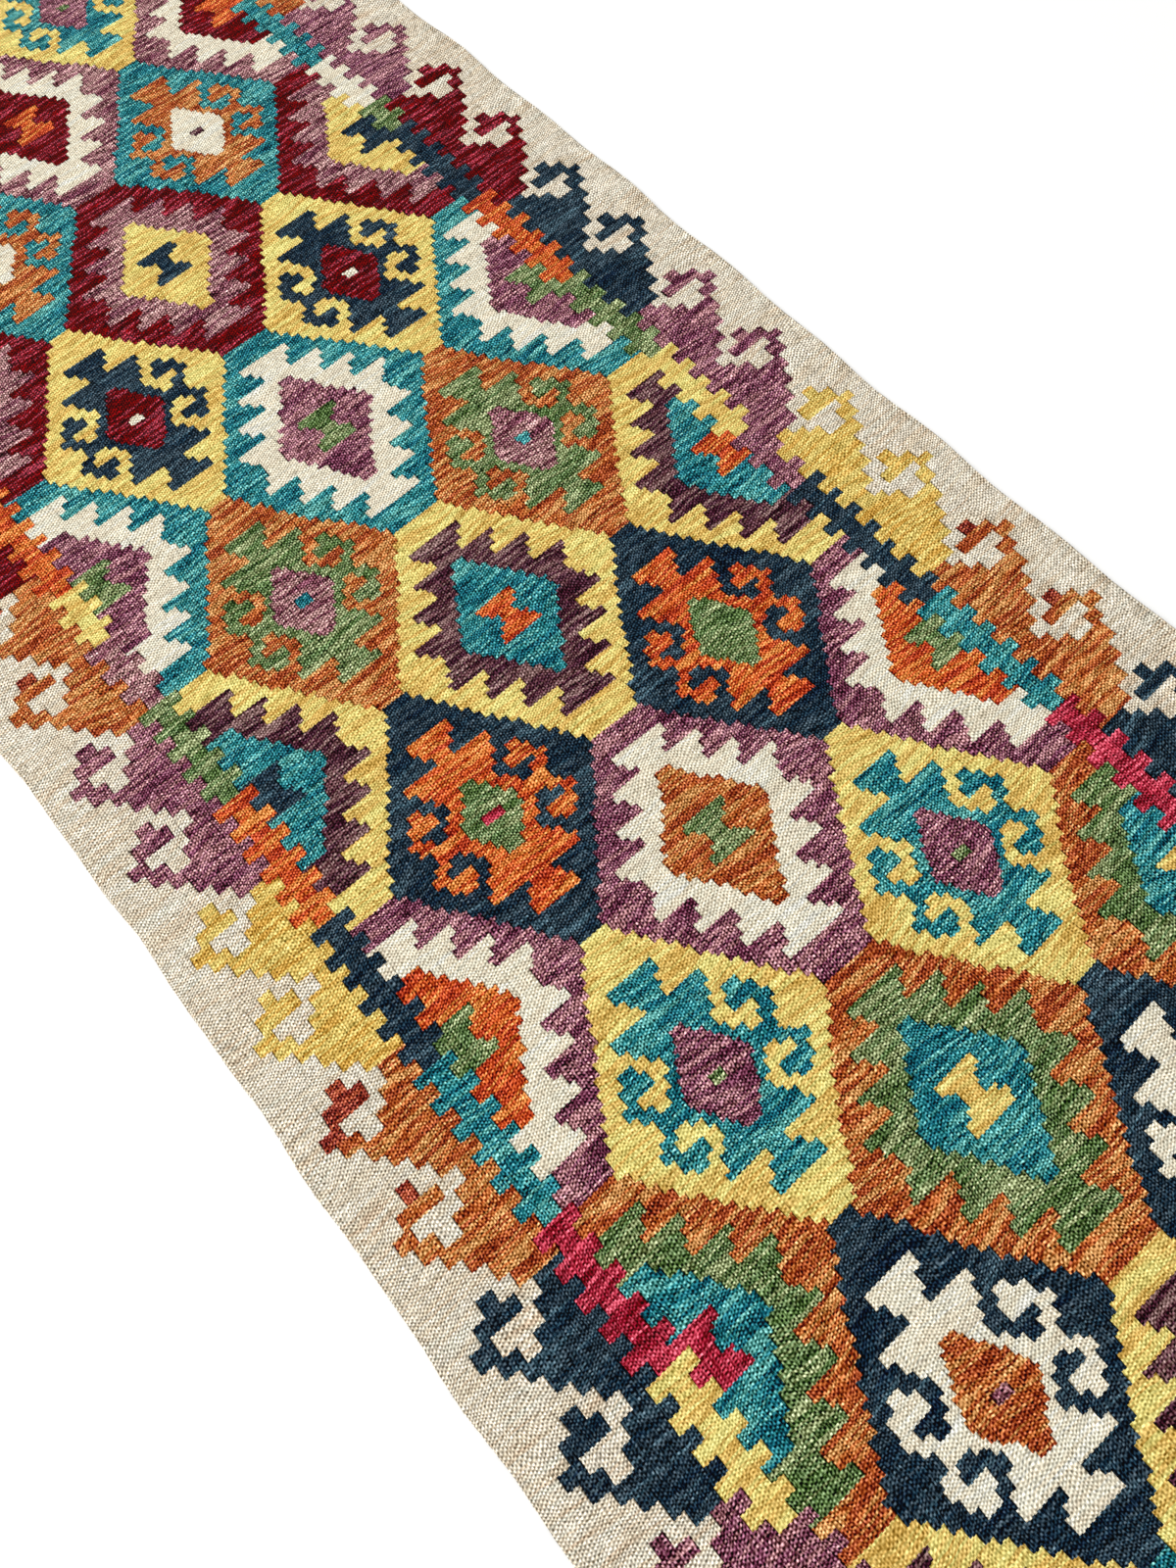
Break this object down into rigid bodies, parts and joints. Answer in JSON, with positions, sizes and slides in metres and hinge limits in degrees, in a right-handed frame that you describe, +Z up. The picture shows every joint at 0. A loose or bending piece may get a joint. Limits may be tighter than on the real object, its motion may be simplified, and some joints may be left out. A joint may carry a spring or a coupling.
{
  "type": "flat-woven wool kilim runner rug",
  "caption": "Long flat-woven wool rug lying flat, with stepped hooked diamonds in many colours, a hooked border on ivory ground and plain ivory ends.",
  "frame": {"origin": "on the floor, under the middle of the rug", "axes": "+Z up out of the upper face, +Y along the length with the warps, +X across from selvedge to selvedge"},
  "size_m": [0.8239, 2.4173, 0.0035],
  "materials": {
    "wool": "matt handspun wool weft over undyed warps, ribbed along the length, in many dyed colours"
  },
  "bodies": {
    "root": {"kilim": "wool"}
  },
  "joints": []
}
